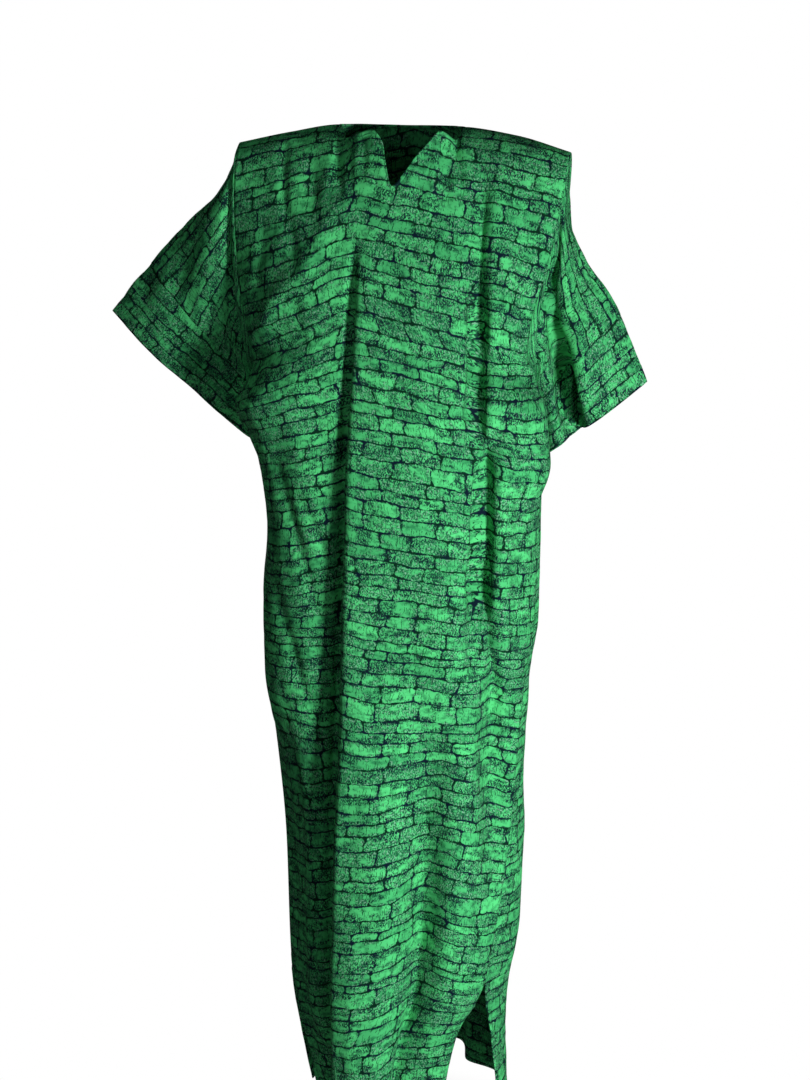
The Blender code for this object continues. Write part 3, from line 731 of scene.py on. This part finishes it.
class Shade:
    """Short calls that add nodes to one material. Its u and v are places on its cloth."""

    def __init__(self, name):
        self.material = bpy.data.materials.new(name)
        self.material.use_nodes = True
        self.tree = self.material.node_tree
        self.surface = self.tree.nodes["Principled BSDF"]

    def put(self, socket, value):
        """Links a socket to another one, or sets it to a number or colour."""
        if isinstance(value, bpy.types.NodeSocket):
            self.tree.links.new(value, socket)
        else:
            socket.default_value = value

    def node(self, kind, inputs=(), **settings):
        """A new node with these inputs and settings."""
        made = self.tree.nodes.new("ShaderNode" + kind)
        for name, value in settings.items():
            setattr(made, name, value)
        for name, value in dict(inputs).items():
            self.put(made.inputs[name], value)
        return made

    def math(self, operation, *values):
        """The result of one Math node."""
        made = self.node("Math", operation=operation)
        for socket, value in zip(made.inputs, values):
            self.put(socket, value)
        return made.outputs[0]

    def places(self, uv_map):
        """The two lengths of a map of places."""
        place = self.node("UVMap", uv_map=uv_map).outputs["UV"]
        return self.node("SeparateXYZ", {"Vector": place}).outputs[:2]

    def noise(self, name):
        """The noise of this name in NOISES, about 0.5 on average."""
        across, down, seed, detail, _ = NOISES[name]
        x, y = self.math("DIVIDE", self.u, across), self.math("DIVIDE", self.v, down)
        place = self.node("CombineXYZ", {"X": x, "Y": y, "Z": seed}).outputs[0]
        inputs = {"Vector": place, "Scale": 1.0, "Detail": detail}
        return self.node("TexNoise", inputs).outputs["Fac"]

    def swing(self, value, height):
        """A noise value turned into a length either side of nothing."""
        return self.math("MULTIPLY", self.math("SUBTRACT", value, 0.5), height)

    def sway(self, name):
        """A noise of NOISES as a length either side of nothing."""
        return self.swing(self.noise(name), NOISES[name][-1])

    def cells(self, at, randomness):
        """Uneven cells along a line: distance to the nearest border, a random colour, the place."""
        inputs = {"Scale": 1.0, "Randomness": randomness, "W": at}
        edge, cell = (
            self.node("TexVoronoi", inputs, voronoi_dimensions="1D", feature=feature)
            for feature in ("DISTANCE_TO_EDGE", "F1")
        )
        parts = self.node("SeparateColor", {"Color": cell.outputs["Color"]})
        return edge.outputs["Distance"], parts.outputs, cell.outputs["W"]

    def ramp(self, value, start, end, low=0.0, high=1.0):
        """A value eased from low to high as it goes from start to end."""
        names = ("Value", "From Min", "From Max", "To Min", "To Max")
        inputs = zip(names, (value, start, end, low, high))
        return self.node("MapRange", inputs, interpolation_type="SMOOTHSTEP").outputs["Result"]

    def step(self, value, name):
        """A value eased as the step of this name in STEPS says."""
        return self.ramp(value, *STEPS[name])

    def mix(self, share, first, second):
        """A colour between two others."""
        made = self.node("Mix", data_type="RGBA")
        self.put(made.inputs["Factor"], share)
        colours = [socket for socket in made.inputs if socket.type == "RGBA"]
        for socket, value in zip(colours, (first, second)):
            self.put(socket, value if isinstance(value, bpy.types.NodeSocket) else (*value, 1))
        return next(socket for socket in made.outputs if socket.type == "RGBA")


# The print: rows of rounded stones, in metres of cloth.
ROW = 0.0190
STONE = 0.052
CORNER = 0.0052
LINE = 0.0010
HAIR = 0.0004
WIDE_HAIRS = 0.0085
CLOSE_HAIRS = 0.0050
ROW_RANDOM = 0.82
ROW_SHIFT = 37.0
HAIR_SHIFT = 9.0
BRIGHT = (0.080, 0.570, 0.184)
DEEPER = (0.054, 0.410, 0.136)
SPECKLE = (0.005, 0.080, 0.033)
PALE_GRAIN = (0.240, 0.520, 0.350)
LINE_GREEN = (0.002, 0.022, 0.010)
LINE_NAVY = (0.003, 0.010, 0.020)

# The cloth and its sewing.
THREAD = 0.00055
STITCH_INSET = 0.0020
STITCH_PITCH = 0.0030
STEP = 0.0008
STITCH_COLOUR = (0.02, 0.12, 0.06)
# Painted shade: the inside copy of the print is darkened a little towards this deep green.
INSIDE_SHADE_COLOUR = (0.004, 0.030, 0.018)
INSIDE_SHADE_SHARE = 0.10
COTTON = {
    "Roughness": 0.78,
    "Specular IOR Level": 0.03,
    "Sheen Weight": 0.01,
    "Sheen Roughness": 0.45,
    "Sheen Tint": (0.45, 0.90, 0.60, 1),
}

# Noises: size across the cloth, size down it, seed, detail, and how far it sways things.
NOISES = {
    "row lean": (0.21, 0.10, 1.7, 2, 0.022),
    "row wobble": (0.034, 0.040, 4.2, 2, 0.0115),
    "joint lean": (0.040, 0.018, 8.3, 2, 0.014),
    "wide hair": (0.010, 0.007, 7.7, 3, 1.1),
    "wide hair gaps": (0.008, 0.007, 12.7, 2, 0),
    "close hair": (0.010, 0.007, 33.1, 3, 1.1),
    "close hair gaps": (0.008, 0.007, 38.1, 2, 0),
    "ragged": (0.0034, 0.0030, 2.9, 4, 0.0038),
    "thick": (0.016, 0.012, 6.1, 3, 0.0042),
    "patch": (0.017, 0.010, 11.0, 3, 0),
    "grain": (0.00125, 0.0026, 3.3, 2, 0),
    "coarse": (0.0046, 0.0054, 5.5, 3, 0),
    "cloudy": (0.012, 0.009, 9.1, 3, 0),
    "pale": (0.0022, 0.0030, 21.0, 1, 0),
    "ink": (0.020, 0.014, 12.4, 2, 0),
    "blot": (0.030, 0.014, 14.9, 4, 0),
    "slub": (0.0030, 0.0009, 1.1, 1, 0),
    "crinkle": (0.016, 0.011, 15.5, 3, 0),
}

# Eased steps: where the change starts and ends, and if not 0 and 1, from what to what.
STEPS = {
    "line": (LINE * 0.45, LINE * 1.60, 1, 0),
    "near line": (0, 0.0080, 0.12, -0.02),
    "speckled": (0.41, 0.56),
    "dots": (0.43, 0.52),
    "deeper": (0.1, 1),
    "cloudy": (0.46, 0.70, 0, 0.62),
    "pale": (0.50, 0.62, 0, 0.70),
    "hair": (0.51, 0.56),
    "ink": (0.42, 0.58),
    "blot": (0.50, 0.60, 0, 0.92),
    "blot grain": (0.40, 0.54),
    "stitch row": (0.00025, 0.00055, 1, 0),
    "stitch": (0.18, 0.28),
}

# How strong each layer is, and how far the stones differ in their speckles.
FINE_DOTS = 0.62
COARSE_DOTS = 0.38
DOTS = 0.90
HAIRS = 0.92
STITCHES = 0.8
UNLIKE = 0.32
PLAIN_WEAVE = 0.35
WEAVE_HEIGHT = 0.00010
CRINKLE_HEIGHT = 0.0009
SEWN_HEIGHT = 0.0005


def stone_outline(shade, row_edge, joint_edge):
    """How far inside a stone's rounded outline a point lies."""
    side = shade.math("SUBTRACT", CORNER, shade.math("MULTIPLY", row_edge, ROW))
    end = shade.math("SUBTRACT", CORNER, shade.math("MULTIPLY", joint_edge, STONE))
    side_out, end_out = (shade.math("MAXIMUM", value, 0.0) for value in (side, end))
    squares = (shade.math("POWER", value, 2.0) for value in (side_out, end_out))
    corner = shade.math("SQRT", shade.math("ADD", *squares))
    within = shade.math("MINIMUM", shade.math("MAXIMUM", side, end), 0.0)
    return shade.math("SUBTRACT", CORNER, shade.math("ADD", corner, within))


def stone_cells(shade):
    """The stones: how far inside its outline a point lies, and three chances for each stone."""
    down = shade.math("ADD", shade.v, shade.sway("row lean"))
    down = shade.math("ADD", down, shade.sway("row wobble"))
    row_edge, row_chance, row_place = shade.cells(shade.math("DIVIDE", down, ROW), ROW_RANDOM)
    shift = shade.math("MULTIPLY", row_chance[0], ROW_SHIFT)
    along = shade.math("ADD", shade.u, shade.sway("joint lean"))
    joint_at = shade.math("ADD", shade.math("DIVIDE", along, STONE), shift)
    joint_edge, _, joint_place = shade.cells(joint_at, 1.0)
    place = shade.node("CombineXYZ", {"X": row_place, "Y": joint_place}).outputs[0]
    stone = shade.node("TexWhiteNoise", {"Vector": place}, noise_dimensions="2D")
    chances = shade.node("SeparateColor", {"Color": stone.outputs["Color"]}).outputs
    return stone_outline(shade, row_edge, joint_edge), chances


def hairlines(shade, spacing, chance, name):
    """Thin broken lines that run down through the stones."""
    at = shade.math("DIVIDE", shade.u, spacing)
    at = shade.math("ADD", at, shade.math("MULTIPLY", chance, HAIR_SHIFT))
    edge, _, _ = shade.cells(shade.math("ADD", at, shade.sway(name)), 1.0)
    line = shade.ramp(edge, HAIR * 0.5 / spacing, HAIR * 1.4 / spacing, 1.0, 0.0)
    return shade.math("MULTIPLY", line, shade.step(shade.noise(name + " gaps"), "hair"))


def speckled(shade, outline, chances, grain):
    """The stones' greens. Most stones are speckled, in patches that follow the lines."""
    amount = shade.math("ADD", shade.noise("patch"), shade.swing(chances[0], UNLIKE))
    amount = shade.math("ADD", amount, shade.step(outline, "near line"))
    amount = shade.step(amount, "speckled")
    fine = shade.math("MULTIPLY", grain, FINE_DOTS)
    coarse = shade.math("MULTIPLY", shade.noise("coarse"), COARSE_DOTS)
    dots = shade.step(shade.math("ADD", fine, coarse), "dots")
    dots = shade.math("MULTIPLY", dots, shade.math("MULTIPLY", amount, DOTS))
    green = shade.mix(shade.step(chances[2], "deeper"), BRIGHT, DEEPER)
    green = shade.mix(shade.step(shade.noise("cloudy"), "cloudy"), green, SPECKLE)
    pale = shade.step(shade.noise("pale"), "pale")
    deep = shade.mix(shade.math("MULTIPLY", pale, amount), SPECKLE, PALE_GRAIN)
    return shade.mix(dots, green, deep)


def stones(shade):
    """The stone-wall print as a colour."""
    inside, chances = stone_cells(shade)
    uneven = shade.math("ADD", shade.sway("ragged"), shade.sway("thick"))
    outline = shade.math("ADD", inside, uneven)
    grain = shade.noise("grain")
    colour = speckled(shade, outline, chances, grain)
    wide = hairlines(shade, WIDE_HAIRS, chances[1], "wide hair")
    close = hairlines(shade, CLOSE_HAIRS, chances[0], "close hair")
    hairs = shade.math("MULTIPLY", shade.math("MAXIMUM", wide, close), HAIRS)
    colour = shade.mix(hairs, colour, LINE_GREEN)
    blot = shade.step(shade.noise("blot"), "blot")
    blot = shade.math("MULTIPLY", blot, shade.step(grain, "blot grain"))
    colour = shade.mix(blot, colour, LINE_NAVY)
    ink = shade.mix(shade.step(shade.noise("ink"), "ink"), LINE_GREEN, LINE_NAVY)
    return shade.mix(shade.step(outline, "line"), colour, ink)


def weave(shade):
    """The height of a plain weave with slubs."""
    turns = (shade.math("MULTIPLY", across, 2 * math.pi / THREAD) for across in (shade.u, shade.v))
    plain = shade.math("MULTIPLY", *(shade.math("SINE", turn) for turn in turns))
    return shade.math("ADD", shade.math("MULTIPLY", plain, PLAIN_WEAVE), shade.noise("slub"))


def stitching(shade, run, from_edge, turned):
    """The row of stitches that holds a turned edge, and its separate stitches."""
    inset = shade.math("SUBTRACT", from_edge, turned - STITCH_INSET)
    row = shade.step(shade.math("ABSOLUTE", inset), "stitch row")
    beat = shade.math("FRACT", shade.math("DIVIDE", run, STITCH_PITCH))
    return row, shade.math("MULTIPLY", row, shade.step(beat, "stitch"))


def printed_cotton(name, turned, inside_shade_share=0):
    """Printed cotton with a plain weave. Turned is the depth of its sewn hem."""
    shade = Shade(name)
    shade.u, shade.v = shade.places("cloth")
    colour = stones(shade)
    run, from_edge = shade.places("edge")
    stitch_row, stitch = stitching(shade, run, from_edge, turned)
    colour = shade.mix(shade.math("MULTIPLY", stitch, STITCHES), colour, STITCH_COLOUR)
    # Painted shade: the inside copy of the print is darkened by this share.
    if inside_shade_share:
        colour = shade.mix(inside_shade_share, colour, INSIDE_SHADE_COLOUR)
    surface = shade.surface
    shade.put(surface.inputs["Base Color"], colour)
    for socket, value in COTTON.items():
        surface.inputs[socket].default_value = value
    step = shade.ramp(from_edge, turned - STEP, turned + STEP, 1.0, 0.0)
    sewn = shade.math("SUBTRACT", step, shade.math("MULTIPLY", stitch_row, STITCHES))
    normal = None
    for height, distance in (
        (weave(shade), WEAVE_HEIGHT),
        (shade.noise("crinkle"), CRINKLE_HEIGHT),
        (sewn, SEWN_HEIGHT),
    ):
        bump = shade.node("Bump", {"Height": height, "Distance": distance, "Strength": 1.0})
        if normal is not None:
            shade.put(bump.inputs["Normal"], normal)
        normal = bump.outputs["Normal"]
    shade.put(surface.inputs["Normal"], normal)
    return shade.material


def in_scene(name, data):
    """A new object with this data."""
    made = bpy.data.objects.new(name, data)
    bpy.context.scene.collection.objects.link(made)
    return made


def cloth_mesh(name, grid, corners, maps):
    """The mesh of one layer of cloth, with its maps."""
    columns = grid.shape[1]
    faces = np.stack([i * columns + j % columns for i, j in corners], -1)
    mesh = bpy.data.meshes.new(name)
    mesh.from_pydata(grid.reshape(-1, 3).tolist(), [], faces.tolist())
    for layer, values in maps.items():
        per_corner = np.stack([values[i, j] for i, j in corners], 1)
        uv = mesh.uv_layers.new(name=layer)
        uv.data.foreach_set("uv", per_corner.astype(np.float32).ravel())
    mesh.shade_smooth()
    return mesh


def thicken(piece, doubled):
    """Makes a shell of one layer of cloth, twice as thick where doubled is 1."""
    group = piece.vertex_groups.new(name="turned edge")
    for index in np.flatnonzero(doubled > 0):
        group.add([int(index)], float(doubled[index]), "REPLACE")
    shell = piece.modifiers.new("cloth", "SOLIDIFY")
    shell.thickness = HEM_CLOTH
    shell.offset = 0
    shell.vertex_group = group.name
    shell.thickness_vertex_group = CLOTH / HEM_CLOTH
    shell.material_offset = 1
    shell.material_offset_rim = 0


def cloth(name, grid, flat, edge, turned, closed=False, facing_out=True):
    """A thin shell of cloth on a grid of points, doubled along its turned edges."""
    rows, columns, _ = grid.shape
    spans = columns if closed else columns - 1
    row, column = np.meshgrid(np.arange(rows - 1), np.arange(spans), indexing="ij")
    row, column = row.ravel(), column.ravel()
    corners = [(row, column), (row + 1, column), (row + 1, column + 1), (row, column + 1)]
    if not facing_out:
        corners = corners[::-1]
    extent = np.ptp(flat.reshape(-1, 2), axis=0)
    share = (flat - flat.reshape(-1, 2).min(axis=0)) / extent
    bake = share * (1 - 2 * BAKE_MARGIN) + BAKE_MARGIN
    mesh = cloth_mesh(name, grid, corners, {"cloth": flat, "edge": edge, "OFBake": bake})
    piece = in_scene(name, mesh)
    doubled = np.clip((turned - edge[:, :columns, 1]) / TURN_EDGE + 0.5, 0, 1)
    thicken(piece, doubled.ravel())
    mesh.materials.append(printed_cotton(name + "_print", turned))
    # The inside faces get a darker copy of the print, as painted shade.
    mesh.materials.append(printed_cotton(name + "_inside", turned, INSIDE_SHADE_SHARE))
    return piece


def declare(piece, node):
    """Attaches the cloth to the root body and hides the solid that it stands in for."""
    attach(piece, "root")
    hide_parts(node)


def panel_calm(flat, downs, shares):
    """How little each point of a panel is creased: 1 at its sewn seams and its neck edge."""
    seam = np.minimum(flat[..., 0] - flat[:, :1, 0], flat[:, -1:, 0] - flat[..., 0])
    calm = np.clip(1 - seam / SEAM_CALM, 0, 1) * (downs < SLIT_TOP + SEAM_CALM)[:, None]
    reach = np.interp(np.abs(shares - 0.5), NECK_CALM_SHARES, NECK_CALM)
    return np.maximum(calm, np.clip(1 - (flat[..., 1] - flat[:1, :, 1]) / reach, 0, 1))


def make_body():
    """The front and back panels: their grids of points, and how far down each row is."""
    grids = {}
    for face, top, folds, creases, finer, seed in (
        ("front", FRONT_TOP, FRONT_FOLDS, FRONT_CREASES, FRONT_FINER, 3.0),
        ("back", BACK_TOP, BACK_FOLDS, BACK_CREASES, BACK_FINER, 11.0),
    ):
        in_front = face == "front"
        shares = column_shares(finer)
        grid, downs = panel(face, top, folds, shares)
        flat = panel_map(grid, downs, shares)
        edge = panel_edges(grid, downs, flat, shares)
        calm = panel_calm(flat, downs, shares)
        shaped = creased(grid, creases, seed, -1 if in_front else 1, calm)
        printed = leaning(grid, flat, downs) if in_front else softened(grid, flat)
        piece = cloth("dress_" + face, shaped, printed, edge, HEM_TURN, facing_out=in_front)
        declare(piece, "body_" + face)
        grids[face] = shaped
    return grids, downs


def shaped_sleeve(rings, creases, seed, outward, away, place):
    """A sleeve's rings with its creases and the tuck beside its armhole seam."""
    calm = np.clip(1 - away / ARMHOLE_CALM, 0, 1)
    rings = creased(rings, creases, seed, outward, calm, closed=True)
    tuck = TUCK_DEPTH * np.exp(-(((away - TUCK_PLACE) / TUCK_WIDTH) ** 2))
    tuck *= np.sin(math.pi * np.concatenate([place, place[-2:0:-1]]))
    rings -= outward * grid_normals(rings, closed=True) * tuck[..., None]
    return rings


def make_sleeves(grids, downs):
    """Both sleeves, each as its upper part and its cuff band, from the panels' armholes."""
    place = (1 - np.cos(np.linspace(0, math.pi, RING_POINTS))) / 2
    for side, column, underarm, rows, folds, seed in (
        ("right", 0, RIGHT_UNDERARM, RIGHT_SLEEVE, RIGHT_SLEEVE_FOLDS, 21.0),
        ("left", -1, LEFT_UNDERARM, LEFT_SLEEVE, LEFT_SLEEVE_FOLDS, 29.0),
    ):
        end = int(np.argmin(np.abs(downs - underarm)))
        start = armhole(grids["front"], grids["back"], column, end, place)
        rings = sleeve(start, rows, folds, place)
        around, from_cuff = ring_map(rings)
        outward = -1 if side == "right" else 1
        away = (from_cuff[0] - from_cuff)[:, :-1]
        rings = shaped_sleeve(rings, SLEEVE_CREASES[side], seed, outward, away, place)
        cuff_edge = np.stack([around, from_cuff], -1)
        from_band = from_cuff - from_cuff[SLEEVE_ROWS]
        sleeve_print = np.stack([from_band, around + SLEEVE_PRINT], -1)
        band_print = np.stack([around, from_cuff + BAND_PRINT], -1)
        for node, name, part, flat, turned in (
            ("sleeve", "sleeve_cloth", slice(0, SLEEVE_ROWS + 1), sleeve_print, SLEEVE_TURN),
            ("cuff", "cuff_band", slice(SLEEVE_ROWS, None), band_print, CUFF_TURN),
        ):
            maps = flat[part], cuff_edge[part]
            piece = cloth(f"{name}_{side}", rings[part], *maps, turned, True, side == "right")
            declare(piece, f"{node}_{side}")


# The floor looks unshaded from the first distance on, fully so from the second.
FLOOR = -1.52
FLOOR_REACH = 14.0
FADE_START = 0.02
FADE_END = 0.28
SEEN_FLOOR = (0.90, 0.90, 0.90)
FLOOR_AS_LIGHT = (0.30, 0.30, 0.30)


def floor_paper():
    """White paper that looks unshaded further out, so that it has no horizon.

    It is darker to the light that it returns, so that it doesn't brighten the folds.
    """
    shade = Shade("pale_floor")
    shade.surface.inputs["Roughness"].default_value = 0.9
    place = shade.node("TexCoord").outputs["Object"]
    reach = shade.node("VectorMath", {0: place}, operation="LENGTH")
    far = shade.ramp(reach.outputs["Value"], FADE_START, FADE_END)
    seen = shade.node("LightPath").outputs["Is Camera Ray"]
    paper = shade.mix(seen, FLOOR_AS_LIGHT, SEEN_FLOOR)
    shade.put(shade.surface.inputs["Base Color"], paper)
    far = shade.math("MULTIPLY", far, seen)
    glow = shade.node("Emission", {"Color": (1, 1, 1, 1), "Strength": 1.0})
    inputs = {0: far, 1: shade.surface.outputs[0], 2: glow.outputs[0]}
    paper_or_glow = shade.node("MixShader", inputs)
    output = next(node for node in shade.tree.nodes if node.type == "OUTPUT_MATERIAL")
    shade.put(output.inputs["Surface"], paper_or_glow.outputs[0])
    return shade.material


def make_floor():
    """A wide sheet of white paper below the hem."""
    mesh = bpy.data.meshes.new("floor")
    corners = [(-1, -1), (1, -1), (1, 1), (-1, 1)]
    points = [(x * FLOOR_REACH, y * FLOOR_REACH, 0) for x, y in corners]
    mesh.from_pydata(points, [], [(0, 1, 2, 3)])
    floor = in_scene("floor", mesh)
    floor.location.z = FLOOR
    mesh.materials.append(floor_paper())


def make_light(name, place, aim, size, power):
    """A round soft lamp that the camera doesn't see."""
    lamp = bpy.data.lights.new(name, "AREA")
    lamp.shape = "DISK"
    lamp.size = size
    lamp.energy = power
    light = in_scene(name, lamp)
    light.location = place
    light.rotation_euler = (Vector(aim) - Vector(place)).to_track_quat("-Z", "Y").to_euler()
    light.visible_camera = False


ROOM_LIGHT = 0.030

# Lamps: name, place, what it points at, width in metres and power in watts.
LAMPS = (
    ("key", (1.25, -1.41, -0.70), (0.0, -0.10, -0.70), 0.36, 46),
    ("front_fill", (-0.50, -1.70, 0.25), (-0.05, 0.0, -0.15), 0.70, 3.2),
    ("top", (0.9, -0.6, 2.4), (0.0, 0.0, -0.6), 1.4, 5),
    ("behind", (-0.9, 3.2, -0.4), (0.0, 0.0, -0.8), 1.6, 40),
)


def make_studio():
    """A white room: bright to look at, dimmer as a light, so that the lamps shape the cloth."""
    bpy.context.scene.view_settings.view_transform = "Standard"
    world = bpy.data.worlds.new("studio")
    bpy.context.scene.world = world
    world.use_nodes = True
    nodes, links = world.node_tree.nodes, world.node_tree.links
    sky = nodes["Background"]
    sky.inputs["Color"].default_value = (1.0, 1.0, 1.0, 1)
    path = nodes.new("ShaderNodeLightPath")
    strength = nodes.new("ShaderNodeMapRange")
    strength.inputs["To Min"].default_value = ROOM_LIGHT
    strength.inputs["To Max"].default_value = 1.0
    links.new(path.outputs["Is Camera Ray"], strength.inputs["Value"])
    links.new(strength.outputs["Result"], sky.inputs["Strength"])
    for lamp in LAMPS:
        make_light(*lamp)


# The camera, from the origin: how far, how high, how far round to the left, how far it
# looks down, and its focal length in millimetres.
VIEW_DISTANCE = 2.6
VIEW_HEIGHT = 0.05
VIEW_AZIMUTH = math.radians(9)
VIEW_TILT = math.radians(13.3)
VIEW_LENS = 63.67


def make_camera():
    """The camera at the photograph's angle."""
    lens = bpy.data.cameras.new("view")
    lens.lens = VIEW_LENS
    lens.sensor_fit = "AUTO"
    camera = in_scene("view", lens)
    camera.location = (
        VIEW_DISTANCE * math.sin(VIEW_AZIMUTH),
        -VIEW_DISTANCE * math.cos(VIEW_AZIMUTH),
        VIEW_HEIGHT,
    )
    camera.rotation_euler = (math.pi / 2 - VIEW_TILT, 0, VIEW_AZIMUTH)
    bpy.context.scene.camera = camera


make_camera()
make_studio()
make_floor()
grids, downs = make_body()
make_sleeves(grids, downs)
